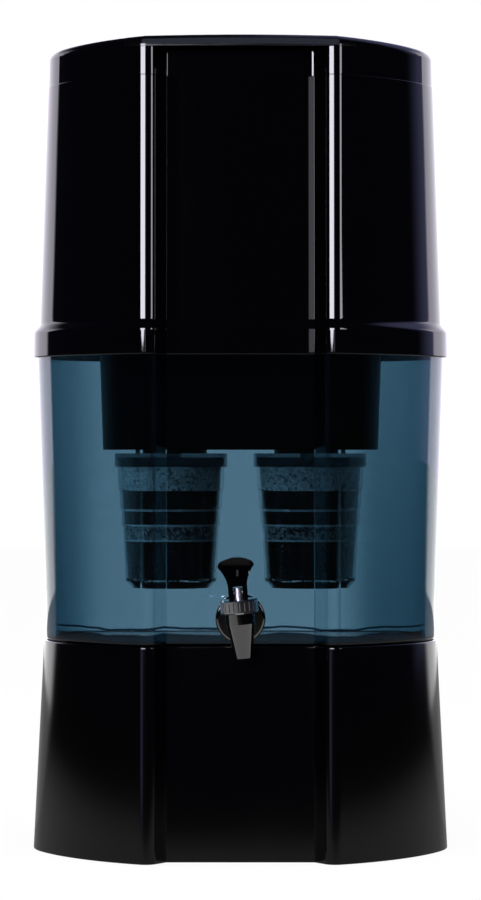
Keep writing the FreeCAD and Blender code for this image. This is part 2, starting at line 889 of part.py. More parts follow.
def make_seat_cup():
    """Soft cup that closes the valve, pushed on the stem's foot."""
    bottom = -valve_seat_drop
    third = cup_height / 3
    return turned([
        (0, bottom),
        (cup_plug_radius, bottom),
        (cup_plug_radius, bottom + third / 2),
        (cup_plug_radius - third / 2, bottom + third),
        (cup_radius, bottom + cup_height - third / 2),
        (cup_radius, bottom + cup_height),
        (stem_radius, bottom + cup_height),
        (stem_radius, bottom + third),
        (0, bottom + third),
    ], V(0, -tap_reach, 0))


def lever_pin_rod(radius):
    """The rod that joins the lever's fork to the stem."""
    _, _, pin_z = tap_stack()
    return Part.makeCylinder(
        radius, lever_width, V(-lever_width / 2, -tap_reach, pin_z), V(1, 0, 0)
    )


def make_lever():
    """Forked lever with flat heels and a hollowed paddle for the thumb."""
    _, bonnet_top_z, pin_z = tap_stack()
    heel_z = bonnet_top_z + lever_floor_gap
    neck_top = heel_z + lever_neck_rise
    wide_z = neck_top + paddle_wide_rise
    top_z = neck_top + paddle_height
    half_neck = lever_width / 2
    fork = Part.makeBox(
        lever_width, 2 * lever_heel, neck_top - heel_z, V(-half_neck, -lever_heel, heel_z)
    )
    neck = V(half_neck, 0, neck_top)
    wide = V(paddle_half_width, 0, wide_z)
    shoulder = V(paddle_dome_half, 0, top_z - paddle_dome)
    bow = V((neck.x + wide.x) / 2 - paddle_bow, 0, (neck.z + wide.z) / 2)
    across = shoulder - wide
    outward = V(across.z, 0, -across.x).normalize() * paddle_corner_bow
    turn = (wide + shoulder) / 2 + outward

    def mirrored(point):
        return V(-point.x, point.y, point.z)

    edges = [
        Part.Arc(neck, bow, wide).toShape(),
        Part.Arc(wide, turn, shoulder).toShape(),
        Part.Arc(shoulder, V(0, 0, top_z), mirrored(shoulder)).toShape(),
        Part.Arc(mirrored(shoulder), mirrored(turn), mirrored(wide)).toShape(),
        Part.Arc(mirrored(wide), mirrored(bow), mirrored(neck)).toShape(),
        Part.LineSegment(mirrored(neck), neck).toShape(),
    ]
    paddle = Part.Face(Part.Wire(edges)).extrude(V(0, paddle_thickness, 0))
    paddle.translate(V(0, -paddle_thickness / 2, 0))
    scoop = Part.makeSphere(
        paddle_hollow_radius,
        V(0, -paddle_thickness / 2 - paddle_hollow_radius + paddle_hollow_depth, wide_z),
    )
    lever = fork.fuse(paddle).cut(scoop)
    slot = Part.makeBox(
        2 * (stem_radius + lever_slot_gap),
        4 * lever_heel,
        pin_z + stem_head + lever_head_gap - heel_z,
        V(-stem_radius - lever_slot_gap, -2 * lever_heel, heel_z),
    )
    lever = lever.cut(slot)
    lever.translate(V(0, -tap_reach, 0))
    return lever.cut(lever_pin_rod(lever_pin_radius + lever_pin_gap)).removeSplitter()


def make_lock_nut():
    """Hexagonal nut that pulls the tap against the wall from inside."""
    y0 = container_wall + gasket_thickness
    corners = []
    for k in range(7):
        turn = math.radians(60 * k + 30)
        corners.append(V(lock_nut_radius * math.cos(turn), y0, lock_nut_radius * math.sin(turn)))
    nut = Part.Face(Part.makePolygon(corners)).extrude(V(0, lock_nut_height, 0))
    return nut.cut(Part.makeCylinder(shank_radius, lock_nut_height, V(0, y0, 0), V(0, 1, 0)))


save(make_stand(), "base_stand")
save(make_container(), "lower_container")
save(make_vessel(), "upper_container")
save(make_tub(), "filter_tub")
cap_form = cap_solid()
save(make_lid(cap_form), "lid")
save(make_hatch(cap_form), "hatch")
save(hatch_pin_rods(hatch_pin_radius), "hatch_pins")

for side, x in (("left", -filter_x), ("right", filter_x)):
    for piece, shape in filter_pieces().items():
        placed = shape.copy()
        placed.translate(V(x, 0, 0))
        save(placed, side + "_filter_" + piece)

inner_y = container_wall
save(on_tap(make_tap_body()), "tap_body")
save(
    on_tap(
        tube(outer_gasket_radius, shank_radius, V(0, -gasket_thickness, 0), gasket_thickness, V(0, 1, 0))
    ),
    "tap_outer_gasket",
)
save(
    on_tap(tube(inner_gasket_radius, shank_radius, V(0, inner_y, 0), gasket_thickness, V(0, 1, 0))),
    "tap_inner_gasket",
)
save(on_tap(make_lock_nut()), "tap_lock_nut")
save(on_tap(make_bonnet()), "tap_bonnet")
save(on_tap(make_seat_cup()), "tap_seat_cup")
save(on_tap(make_stem()), "tap_stem")
save(on_tap(lever_pin_rod(lever_pin_radius)), "tap_lever_pin")
save(on_tap(make_lever()), "tap_lever")
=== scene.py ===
import bpy
import bmesh
import json
import math
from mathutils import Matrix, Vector


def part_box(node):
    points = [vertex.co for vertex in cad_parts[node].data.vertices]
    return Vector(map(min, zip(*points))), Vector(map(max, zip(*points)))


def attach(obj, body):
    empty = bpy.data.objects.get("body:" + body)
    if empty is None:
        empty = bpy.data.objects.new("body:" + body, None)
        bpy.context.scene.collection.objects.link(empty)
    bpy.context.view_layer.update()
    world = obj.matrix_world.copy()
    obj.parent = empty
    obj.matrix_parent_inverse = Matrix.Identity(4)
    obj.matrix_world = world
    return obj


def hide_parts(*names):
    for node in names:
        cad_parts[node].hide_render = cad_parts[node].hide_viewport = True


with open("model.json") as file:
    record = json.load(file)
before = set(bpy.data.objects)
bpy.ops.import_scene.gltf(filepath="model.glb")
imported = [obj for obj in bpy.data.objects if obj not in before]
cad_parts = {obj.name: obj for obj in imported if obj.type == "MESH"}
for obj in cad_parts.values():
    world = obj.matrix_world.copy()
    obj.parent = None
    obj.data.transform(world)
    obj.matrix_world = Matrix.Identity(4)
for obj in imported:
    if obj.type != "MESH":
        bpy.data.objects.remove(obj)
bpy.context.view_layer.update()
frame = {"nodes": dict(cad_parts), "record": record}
scene = bpy.context.scene
scene.view_settings.view_transform = "Standard"
scene.cycles.use_denoising = True

# Picture and camera, in pixels and metres
image_height = 900
focal_pixels = 3440.0
sensor = 36.0
camera_distance = 2.614
camera_height = 0.3013

# Brightness and tint of the surroundings, by kind of ray
seen_white = 1.0
mirrored_white = 1.85
mirrored_dark = 0.014
right_glow = 0.30
through_front = 0.02
inside_left = 6.5
inside_right = 0.12
ambient = 0.45
floor_tone = 0.42
floor_thin_tone = 0.14
floor_glow = 0.92
cool_dark = (0.85, 0.9, 1.7)
cool_white = (0.98, 0.94, 1.08)
cool_lid = (0.87, 0.94, 1.35)

# Where the surroundings change, as parts of a direction one long
white_edge = 0.59
white_edge_blend = 0.02
floor_edge_blend = 0.04
white_top = 0.42
white_top_blend = 0.1
right_glow_start = 0.34
right_glow_blend = 0.1
through_change = (-0.3, 0.1)
inside_change = (-0.9, 0.15)

# Floor in metres, and its mirrored levels: near and far distance, near and far brightness
floor_reach = 8.0
floor_drop = 0.0003
floor_front_levels = (0.4, 2.2, 0.26, 0.014)
floor_back_levels = (2.95, 3.15, 0.32, 1.85)

# Strips that only mirrors see: name, azimuth, lowest, highest, width, brightness, shape
strip_distance = 2.2
mirrored_strips = [
    ("left_strip", -29.5, 0.58, 1.35, 1.60, 17.0, "RECTANGLE"),
    ("left_end", -29.5, 0.487, 0.67, 1.60, 17.0, "ELLIPSE"),
    ("left_spill", -5.8, 0.47, 1.35, 0.25, 1.1, "RECTANGLE"),
    ("right_strip", 53.5, 0.58, 1.35, 0.58, 6.5, "RECTANGLE"),
]
lever_strip = ("lever_strip", -48.0, 0.58, 1.35, 0.30, 9.0, "RECTANGLE")
stand_strip = ("stand_left", -40.0, 0.01, 0.45, 0.90, 0.25, "RECTANGLE")

# Soft lamps: place, aim, width, height and power, in metres and watts
lamp_aim = (0, 0, 0.35)
overhead = ((0, -0.6, 2.4), lamp_aim, 1.6, 1.2, 10)
lid_light = ((0, -1.6, 2.3), (0, 0, 0.6), 3.5, 3.0, 17)
lid_light_pieces = ("lid", "hatch", "tap_bonnet", "tap_stem")
spout_light = ((0, -0.6, 0.004), (0, -0.6, 1), 3.2, 1.2, 17)
front_fill = (lamp_aim, 1.2, 1.2, 12)
front_fill_azimuth = -20
front_fill_distance = 2.6
front_fill_height = 1.6

# Plan outline at the floor, in metres: the front panel bows, then a crease and a leaning
# step lead to each ridge, and arcs run on round the flanks, sides, corners and back
foot_half_width = 0.157
foot_front = 0.117
foot_back = 0.112
ridge_x = 0.069
ridge_radius = 0.009
side_radius = 0.080
flank_radius = 0.180
rear_side_radius = 0.200
corner_radius = 0.060
rear_radius = 0.900
recess_depth = 0.0154
step_lean = math.radians(34)
crease_radius = 0.00015
bow_reach = 0.0095
bow_turn = math.radians(4.5)

# Points along each stretch of half the outline
panel_steps = 8
bow_steps = 8
crease_steps = 10
step_steps = 8
ridge_steps = 36
flank_steps = 56
side_steps = 28
rear_side_steps = 20
corner_steps = 28
rear_steps = 20

# Steps up the shoulder, sides of the round hole, and the angle from which an edge stays sharp
shoulder_steps = 20
tap_hole_sides = 64
sharp_angle = math.radians(38)

# Heights, walls and roundings in metres, and how much each wall draws in per metre of height
stand_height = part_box("base_stand")[1][2]
container_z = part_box("lower_container")[0][2]
container_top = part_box("lower_container")[1][2]
container_top_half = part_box("lower_container")[1][0]
collar_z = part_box("upper_container")[0][2]
collar_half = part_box("upper_container")[1][0]
vessel_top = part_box("upper_container")[1][2]
stand_lean = 0.0508
stand_wall = 0.0026
stand_rim_wall = 0.0017
stand_deck = 0.0027
stand_top_round = 0.0010
stand_foot_round = 0.0006
rib_depth = 0.022
rib_wall = 0.002
rib_spacing = 0.080
container_lean = 0.0334
container_wall = 0.003
container_corner = 0.006
container_inner_corner = 0.004
container_rim_round = 0.0008
tap_rise = 0.0204
tap_hole_radius = 0.00825
collar_round = 0.0032
collar_foot_round = 0.0011
collar_lean = 0.012
collar_gap = 0.0005
shoulder_rise = 0.0115
shoulder_step = 0.005
vessel_lean = 0.0338
vessel_wall = 0.003
vessel_deck = 0.003
vessel_rim_round = 0.0005
mouth_half_length = 0.1027
mouth_half_depth = 0.0595
mouth_corner = 0.0215

# Rings that hold the walls' shape: distance from an edge, and shares of a wall's height
support = 0.0006
wall_shares = (0.25, 0.5, 0.75)
container_first_share = 0.03
vessel_first_share = 0.02

# Colours of the plastics and metals
plastic_dark = (0.0004, 0.0004, 0.0006)
plastic_pale = (0.0009, 0.0009, 0.0013)
stand_dark = (0.0003, 0.0003, 0.0005)
stand_pale = (0.0007, 0.0007, 0.001)
tub_pale = (0.001, 0.001, 0.0013)
rubber_pale = (0.01, 0.01, 0.01)
dust_tone = (0.06, 0.06, 0.065)
clear_colour = (0.062, 0.357, 0.494)
clear_density = 450.0
# Painted shade that darkens the clear container towards its sides
painted_side_shade = (0.52, 0.64, 0.67)
# Painted dark reflection of the stand in the clear container's front foot
painted_foot_reflection = (0.03, 0.09, 0.12)
cup_tint = (0.80, 0.86, 0.88)
cap_tint = (0.16, 0.20, 0.22)
pin_grey = (0.6, 0.6, 0.62)
chrome_grey = (0.85, 0.86, 0.88)
stem_grey = (0.93, 0.92, 0.96)

# Colours and sizes of the grains, in metres
strainer_tones = ((0.55, 0.55, 0.53), (0.62, 0.62, 0.6))
granule_tones = ((0.1, 0.11, 0.11), (0.8, 0.82, 0.8))
carbon_tones = ((0.002, 0.002, 0.002), (0.012, 0.012, 0.013))
mineral_tones = ((0.03, 0.035, 0.035), (0.45, 0.47, 0.46))
felt_tones = ((0.5, 0.52, 0.52), (0.65, 0.67, 0.67))
silicone_tones = ((0.6, 0.6, 0.58), (0.68, 0.68, 0.66))
strainer_grain = 0.002
granule_grain = 0.0018
carbon_grain = 0.0014
mineral_grain = 0.0022
felt_grain = 0.0008
silicone_grain = 0.003

# Patterns in the materials: how many there are to a metre, and how much they change
plastic_cloud_scale = 14.0
clear_cloud_scale = 9.0
blotch_scale = 28.0
metal_cloud_scale = 160.0
fine_detail = 3.0
soft_detail = 2.0
dust_scale = 90.0
dust_radius = 0.028
dust_share = 0.06
grain_bump = 0.8
plastic_gloss_spread = 0.2
gloss_spread = 0.3
tint_spread = 0.03
metal_dimmest = 0.9

# How strongly the materials bend and mirror light
plastic_ior = 1.54
clear_ior = 1.5
lever_specular = 0.3
tub_specular = 0.15

# Where the clear container's painted side shade and painted dark reflection at its front foot change,
# in metres
side_shift = 0.015
side_start = 0.088
side_end = 0.122
side_top_share = 0.55
bottom_wave = 0.006
line_low = container_z + 0.0172
line_high = container_z + 0.0188
line_blend = 0.0006
foot_dark = container_z + 0.0135
reflection_front_full = -0.045
reflection_front_end = -0.030


def node(tree, kind, **values):
    """A new node, with its settings and its plain socket values."""
    made = tree.nodes.new(kind)
    for key, value in values.items():
        if hasattr(made, key):
            setattr(made, key, value)
        else:
            made.inputs[key.replace("_", " ")].default_value = value
    return made


def set_up_camera():
    """The camera stands in front of the object, level, at the photograph's distance."""
    data = bpy.data.cameras.new("camera")
    data.sensor_fit = "VERTICAL"
    data.sensor_height = sensor
    data.lens = sensor * focal_pixels / image_height
    camera = bpy.data.objects.new("camera", data)
    camera.location = (0, -camera_distance, camera_height)
    camera.rotation_euler = (math.pi / 2, 0, 0)
    scene.collection.objects.link(camera)
    scene.camera = camera


def linked(tree, target, source):
    """Join a socket to another, or set its plain value."""
    if isinstance(source, (int, float)):
        target.default_value = source
    elif isinstance(source, tuple):
        target.default_value = (*source, 1)
    else:
        tree.links.new(source, target)


def smooth_ramp(tree, value, low, high, first=0.0, last=1.0):
    """A smooth rise from one level to another as a value goes from low to high."""
    made = node(tree, "ShaderNodeMapRange", interpolation_type="SMOOTHSTEP")
    made.inputs["From Min"].default_value = low
    made.inputs["From Max"].default_value = high
    made.inputs["To Min"].default_value = first
    made.inputs["To Max"].default_value = last
    tree.links.new(value, made.inputs["Value"])
    return made.outputs["Result"]


def mixed(tree, share, first, second):
    """A colour between two colours."""
    made = node(tree, "ShaderNodeMix", data_type="RGBA")
    linked(tree, made.inputs["Factor"], share)
    linked(tree, made.inputs[6], first)
    linked(tree, made.inputs[7], second)
    return made.outputs[2]


def reckoned(tree, operation, first, second=None):
    """What an operation makes of one value or two."""
    made = node(tree, "ShaderNodeMath", operation=operation)
    linked(tree, made.inputs[0], first)
    if second is not None:
        linked(tree, made.inputs[1], second)
    return made.outputs[0]


def level_way(tree, source):
    """The X and Y of a vector's level direction, and the vector laid level."""
    level = node(tree, "ShaderNodeVectorMath", operation="MULTIPLY")
    level.inputs[1].default_value = (1, 1, 0)
    tree.links.new(source, level.inputs[0])
    flat = node(tree, "ShaderNodeVectorMath", operation="NORMALIZE")
    tree.links.new(level.outputs[0], flat.inputs[0])
    split = node(tree, "ShaderNodeSeparateXYZ")
    tree.links.new(flat.outputs[0], split.inputs[0])
    return split.outputs["X"], split.outputs["Y"], level.outputs[0]


def grey(level, tint=(1, 1, 1)):
    """A colour of one level and tint."""
    return tuple(level * share for share in tint)


def after(tree, path, kind, before, since):
    """One colour before a ray's first dull or mirrored bounce and another since then."""
    half_a_bounce = 0.5
    bounced = reckoned(tree, "GREATER_THAN", path.outputs[kind], half_a_bounce)
    return mixed(tree, bounced, before, since)


def seen_through(tree, path, right, depth):
    """What a clear part shows.

    That is white straight through, the dark front where something mirrors it, and light from
    the left for dull things inside.
    """
    far = smooth_ramp(tree, depth, *through_change)
    mirrored = mixed(tree, far, grey(through_front), grey(seen_white))
    side = smooth_ramp(tree, right, *inside_change)
    light = mixed(tree, side, grey(inside_left), grey(inside_right))
    seen = after(tree, path, "Glossy Depth", grey(seen_white), mirrored)
    return after(tree, path, "Diffuse Depth", seen, light)


def set_up_world():
    """White behind the object, dark in front of it, and a plain grey light all round."""
    world = bpy.data.worlds.new("studio")
    scene.world = world
    world.use_nodes = True
    tree = world.node_tree
    tree.nodes.clear()
    out = node(tree, "ShaderNodeOutputWorld")
    light = node(tree, "ShaderNodeBackground")
    path = node(tree, "ShaderNodeLightPath")
    place = node(tree, "ShaderNodeTexCoord")
    right, back, _ = level_way(tree, place.outputs["Generated"])
    rise = node(tree, "ShaderNodeSeparateXYZ")
    tree.links.new(place.outputs["Generated"], rise.inputs[0])
    top = (white_top - white_top_blend, white_top + white_top_blend)
    edge = (white_edge - white_edge_blend, white_edge + white_edge_blend)
    low = smooth_ramp(tree, rise.outputs["Z"], *top, 1.0, 0.0)
    turned = smooth_ramp(tree, back, *edge)
    behind = reckoned(tree, "MULTIPLY", low, turned)
    on_right = smooth_ramp(tree, right, 0.0, right_glow_blend)
    near_edge = smooth_ramp(tree, back, right_glow_start, white_edge)
    glow = reckoned(tree, "MULTIPLY", on_right, near_edge)
    dark = mixed(tree, glow, grey(mirrored_dark, cool_dark), grey(right_glow, cool_dark))
    mirrored = mixed(tree, behind, dark, grey(mirrored_white, cool_white))
    through = seen_through(tree, path, right, back)
    colour = mixed(tree, path.outputs["Is Glossy Ray"], grey(ambient), mirrored)
    colour = mixed(tree, path.outputs["Is Transmission Ray"], colour, through)
    colour = mixed(tree, path.outputs["Is Camera Ray"], colour, grey(seen_white))
    tree.links.new(colour, light.inputs["Color"])
    tree.links.new(light.outputs[0], out.inputs["Surface"])


def set_up_floor():
    """A pale floor that shows white to the camera, keeps a soft shadow and fades in the distance."""
    mesh = bpy.data.meshes.new("floor")
    signs = ((-1, -1), (1, -1), (1, 1), (-1, 1))
    corners = [(x * floor_reach, y * floor_reach, -floor_drop) for x, y in signs]
    mesh.from_pydata(corners, [], [(0, 1, 2, 3)])
    floor = bpy.data.objects.new("floor", mesh)
    scene.collection.objects.link(floor)
    made = bpy.data.materials.new("floor_pale")
    made.use_nodes = True
    tree = made.node_tree
    tree.nodes.clear()
    out = node(tree, "ShaderNodeOutputMaterial")
    path = node(tree, "ShaderNodeLightPath")
    where = node(tree, "ShaderNodeNewGeometry")
    right, back, level = level_way(tree, where.outputs["Position"])
    distance = node(tree, "ShaderNodeVectorMath", operation="LENGTH")
    tree.links.new(level, distance.inputs[0])
    edge = (white_edge - floor_edge_blend, white_edge + floor_edge_blend)
    behind = smooth_ramp(tree, back, *edge)
    in_front = smooth_ramp(tree, distance.outputs["Value"], *floor_front_levels)
    at_back = smooth_ramp(tree, distance.outputs["Value"], *floor_back_levels)
    mirrored = mixed(tree, behind, in_front, at_back)
    through = seen_through(tree, path, right, back)
    unseen = mixed(tree, path.outputs["Is Transmission Ray"], mirrored, through)
    plain = node(tree, "ShaderNodeBsdfDiffuse", Color=(*grey(floor_tone), 1))
    thin = node(tree, "ShaderNodeBsdfDiffuse", Color=(*grey(floor_thin_tone), 1))
    glow = node(tree, "ShaderNodeEmission", Strength=floor_glow)
    both = node(tree, "ShaderNodeAddShader")
    tree.links.new(thin.outputs[0], both.inputs[0])
    tree.links.new(glow.outputs[0], both.inputs[1])
    reflected = node(tree, "ShaderNodeEmission", Strength=1.0)
    tree.links.new(unseen, reflected.inputs["Color"])
    unlit = reckoned(
        tree, "MAXIMUM", path.outputs["Is Glossy Ray"], path.outputs["Is Transmission Ray"]
    )
    mix = node(tree, "ShaderNodeMixShader")
    tree.links.new(unlit, mix.inputs["Fac"])
    tree.links.new(plain.outputs[0], mix.inputs[1])
    tree.links.new(reflected.outputs[0], mix.inputs[2])
    final = node(tree, "ShaderNodeMixShader")
    tree.links.new(path.outputs["Is Camera Ray"], final.inputs["Fac"])
    tree.links.new(mix.outputs[0], final.inputs[1])
    tree.links.new(both.outputs[0], final.inputs[2])
    tree.links.new(final.outputs[0], out.inputs["Surface"])
    mesh.materials.append(made)


def add_lamp(name, place, aim, width, height, power, tint=(1, 1, 1), mirrored=True, dull=True):
    """A soft light that the camera doesn't see, for mirrors, dull things or both."""
    data = bpy.data.lights.new(name, "AREA")
    data.shape = "RECTANGLE"
    data.size = width
    data.size_y = height
    data.energy = power
    data.color = tint
    lamp = bpy.data.objects.new(name, data)
    lamp.location = place
    lamp.rotation_euler = (Vector(aim) - Vector(place)).to_track_quat("-Z", "Y").to_euler()
    lamp.visible_camera = False
    lamp.visible_transmission = False
    lamp.visible_diffuse = dull
    lamp.visible_glossy = mirrored
    scene.collection.objects.link(lamp)
    return lamp


def around(azimuth, distance, height):
    """A place at an azimuth from the front, positive to the right."""
    turn = math.radians(azimuth)
    return (distance * math.sin(turn), -distance * math.cos(turn), height)


def add_strip(name, azimuth, low, high, width, level, shape, tint):
    """An upright strip that only mirrors see, at a brightness of its own."""
    height = high - low
    place = around(azimuth, strip_distance, (low + high) / 2)
    power = level * math.pi * width * height
    if shape == "ELLIPSE":
        power *= math.pi / 4
    aim = (0, 0, (low + high) / 2)
    lamp = add_lamp(name, place, aim, width, height, power, tint, dull=False)
    lamp.data.shape = shape
    return lamp


def set_up_lamps():
    """Tall strips in front, soft lights above and in front, and lights for single pieces."""
    pieces = frame["nodes"]
    lever = pieces["tap_lever"]
    for strip in mirrored_strips:
        lamp = add_strip(*strip, cool_white)
        shine_past(lamp, pieces["lid"] if strip[0] == "left_spill" else lever)
    shine_on(add_strip(*lever_strip, cool_white), [lever])
    add_lamp("overhead", *overhead, mirrored=False)
    fill_place = around(front_fill_azimuth, front_fill_distance, front_fill_height)
    add_lamp("front_fill", fill_place, *front_fill, mirrored=False)
    from_above = add_lamp("lid_light", *lid_light, cool_lid, dull=False)
    shine_on(from_above, [pieces[name] for name in lid_light_pieces])
    from_below = add_lamp("spout_light", *spout_light, dull=False)
    shine_on(from_below, [pieces["tap_body"]])


def shine_on(lamp, pieces):
    """Let a lamp show in some pieces alone."""
    alone = bpy.data.collections.new(lamp.name + "_alone")
    for piece in pieces:
        alone.objects.link(piece)
    lamp.light_linking.receiver_collection = alone


def shine_past(lamp, piece):
    """Let a lamp show in everything but one piece."""
    others = bpy.data.collections.new(lamp.name + "_past")
    others.objects.link(piece)
    others.collection_objects[0].light_linking.link_state = "EXCLUDE"
    lamp.light_linking.receiver_collection = others


def light_the_stand(stand):
    """A dim low strip that shows in the stand's ridges alone."""
    shine_on(add_strip(*stand_strip, cool_dark), [stand])


def circle_crossing(first, first_radius, second, second_radius, near):
    """Where two circles cross, the crossing that lies nearer to a given point."""
    dx = second[0] - first[0]
    dy = second[1] - first[1]
    apart = math.hypot(dx, dy)
    along = (first_radius**2 - second_radius**2 + apart * apart) / (2 * apart)
    off = math.sqrt(first_radius**2 - along * along)
    middle = (first[0] + along * dx / apart, first[1] + along * dy / apart)
    pair = [
        (middle[0] - off * dy / apart, middle[1] + off * dx / apart),
        (middle[0] + off * dy / apart, middle[1] - off * dx / apart),
    ]
    return min(pair, key=lambda point: math.hypot(point[0] - near[0], point[1] - near[1]))


def direction(start, end):
    """The angle of the way from one point to another."""
    return math.atan2(end[1] - start[1], end[0] - start[0])


def arc(centre, radius, first, last, steps):
    """Points along an arc, the short way from one angle to the other, without its last point."""
    turn = (last - first + math.pi) % (2 * math.pi) - math.pi
    angles = [first + turn * k / steps for k in range(steps)]
    return [(centre[0] + radius * math.cos(a), centre[1] + radius * math.sin(a)) for a in angles]


def straight(start, end, steps):
    """Points along a line, without its last point."""
    return [
        (start[0] + (end[0] - start[0]) * k / steps, start[1] + (end[1] - start[1]) * k / steps)
        for k in range(steps)
    ]


def half_outline(half_width, inset):
    """The right half of the plan outline, from the front's middle to the back's middle.

    A narrower half width draws the front and back in by as much. An inset keeps the same
    centres, so it gives a wall of even thickness.
    """
    draw_in = foot_half_width - half_width
    front = foot_front - draw_in
    back = foot_back - draw_in
    ridge = (ridge_x, ridge_radius - front)
    side = (half_width - side_radius, 0.0)
    rear_side = (half_width - rear_side_radius, 0.0)
    rear = (0.0, back - rear_radius)
    flank = circle_crossing(
        side, flank_radius - side_radius, ridge, flank_radius - ridge_radius, (0.0, back)
    )
    corner = circle_crossing(
        rear_side,
        rear_side_radius - corner_radius,
        rear,
        rear_radius - corner_radius,
        (half_width, back),
    )
    panel_y = recess_depth - front
    bow_rise = bow_reach * math.tan(bow_turn) / 2
    facing = (-math.sin(bow_turn), -math.cos(bow_turn))
    leaning = (-math.cos(step_lean), -math.sin(step_lean))
    wall_top = (ridge[0] + ridge_radius * leaning[0], ridge[1] + ridge_radius * leaning[1])
    run = (leaning[1], -leaning[0])
    corner_y = panel_y - bow_rise
    reach = (corner_y - wall_top[1]) / run[1]
    crease = (wall_top[0] + reach * run[0], corner_y)
    share = crease_radius / (1 + facing[0] * leaning[0] + facing[1] * leaning[1])
    crease_centre = (
        crease[0] + share * (facing[0] + leaning[0]),
        crease[1] + share * (facing[1] + leaning[1]),
    )
    bow_end = crease_centre[0] - crease_radius * facing[0]
    bow_start = bow_end - bow_reach
    inner_crease = crease_radius + inset
    crease_first = (
        crease_centre[0] - inner_crease * facing[0],
        crease_centre[1] - inner_crease * facing[1],
    )
    crease_last = (
        crease_centre[0] - inner_crease * leaning[0],
        crease_centre[1] - inner_crease * leaning[1],
    )
    inner_ridge = ridge_radius - inset
    ridge_first = (ridge[0] + inner_ridge * leaning[0], ridge[1] + inner_ridge * leaning[1])
    points = straight((0.0, panel_y + inset), (bow_start, panel_y + inset), panel_steps)
    for k in range(bow_steps):
        t = k / bow_steps
        points.append((
            bow_start + t * (crease_first[0] - bow_start),
            panel_y + inset + t * t * (crease_first[1] - panel_y - inset),
        ))
    points += arc(
        crease_centre,
        inner_crease,
        math.atan2(-facing[1], -facing[0]),
        math.atan2(-leaning[1], -leaning[0]),
        crease_steps,
    )
    points += straight(crease_last, ridge_first, step_steps)
    stretches = (
        (ridge, ridge_radius, direction((0, 0), leaning), direction(flank, ridge), ridge_steps),
        (flank, flank_radius, direction(flank, ridge), direction(flank, side), flank_steps),
        (side, side_radius, direction(flank, side), 0.0, side_steps),
        (rear_side, rear_side_radius, 0.0, direction(rear_side, corner), rear_side_steps),
        (
            corner,
            corner_radius,
            direction(rear_side, corner),
            direction(rear, corner),
            corner_steps,
        ),
        (rear, rear_radius, direction(rear, corner), math.pi / 2, rear_steps),
    )
    for centre, radius, first, last, steps in stretches:
        points += arc(centre, radius - inset, first, last, steps)
    points.append((0.0, back - inset))
    return points


def whole_outline(half_width, inset=0.0):
    """The whole plan outline as a closed row of points, seen from above against the clock."""
    right = half_outline(half_width, inset)
    return right + [(-x, y) for x, y in reversed(right[1:-1])]


def finish_mesh(name, mesh, material, body, replaced):
    """Turn a mesh into a finished piece that rides on a body and stands for a node."""
    mesh.validate()
    mesh.shade_smooth()
    mesh.set_sharp_from_angle(angle=sharp_angle)
    piece = bpy.data.objects.new(name, mesh)
    scene.collection.objects.link(piece)
    piece.data.materials.append(material)
    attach(piece, body)
    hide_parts(replaced)
    return piece


def ring_wall(bm, rings):
    """Rows of quads between outlines given as (height, half width, inset)."""
    rows = []
    for z, half, inset in rings:
        rows.append([bm.verts.new((x, y, z)) for x, y in whole_outline(half, inset)])
    for low, high in zip(rows, rows[1:]):
        count = len(low)
        for k in range(count):
            following = (k + 1) % count
            bm.faces.new((low[k], low[following], high[following], high[k]))
    return rows


def edge_round(z, half_at, radius, inset, up, outward, steps=4):
    """Rings that round an edge, from the wall to the flat rim or foot.

    up is 1 at a top edge and -1 at a bottom edge, outward is 1 on the outside and -1 inside.
    """
    rings = []
    for k in range(steps + 1):
        turn = math.pi / 2 * k / steps
        height = z - up * radius * (1 - math.sin(turn))
        rings.append((height, half_at(height), inset + outward * radius * (1 - math.cos(turn))))
    return rings


def new_finish(name):
    """A new material, with its nodes and its shader."""
    made = bpy.data.materials.new(name)
    made.use_nodes = True
    tree = made.node_tree
    return made, tree, tree.nodes["Principled BSDF"]


def pattern(tree, place, kind, **values):
    """A pattern that stays with the object."""
    made = node(tree, kind, **values)
    tree.links.new(place.outputs["Object"], made.inputs["Vector"])
    return made


def clouds(tree, place, scale, detail):
    """Soft clouding."""
    return pattern(tree, place, "ShaderNodeTexNoise", Scale=scale, Detail=detail)


def uneven_gloss(tree, shader, cloud, rough, spread):
    """Roughness that wanders by a share either way."""
    gloss = node(tree, "ShaderNodeMapRange")
    gloss.inputs["To Min"].default_value = rough * (1 - spread)
    gloss.inputs["To Max"].default_value = rough * (1 + spread)
    tree.links.new(cloud.outputs["Fac"], gloss.inputs["Value"])
    tree.links.new(gloss.outputs["Result"], shader.inputs["Roughness"])


def black_plastic(name, rough, dark=plastic_dark, pale=plastic_pale, dust=0.5):
    """Moulded black plastic with faint clouding, a few dust specks and uneven gloss."""
    made, tree, shader = new_finish(name)
    shader.inputs["IOR"].default_value = plastic_ior
    place = node(tree, "ShaderNodeTexCoord")
    cloud = clouds(tree, place, plastic_cloud_scale, fine_detail)
    colour = mixed(tree, cloud.outputs["Fac"], dark, pale)
    speck = pattern(
        tree, place, "ShaderNodeTexVoronoi", feature="F1", Scale=dust_scale, Randomness=1.0
    )
    small = reckoned(tree, "LESS_THAN", speck.outputs["Distance"], dust_radius)
    rare = node(tree, "ShaderNodeSeparateColor")
    tree.links.new(speck.outputs["Color"], rare.inputs[0])
    chosen = reckoned(tree, "LESS_THAN", rare.outputs[0], dust_share * dust)
    dusty = reckoned(tree, "MULTIPLY", small, chosen)
    tree.links.new(mixed(tree, dusty, colour, dust_tone), shader.inputs["Base Color"])
    uneven_gloss(tree, shader, cloud, rough, plastic_gloss_spread)
    return made


def make_clear(shader):
    """Let light pass through."""
    shader.inputs["Transmission Weight"].default_value = 1.0
    shader.inputs["IOR"].default_value = clear_ior


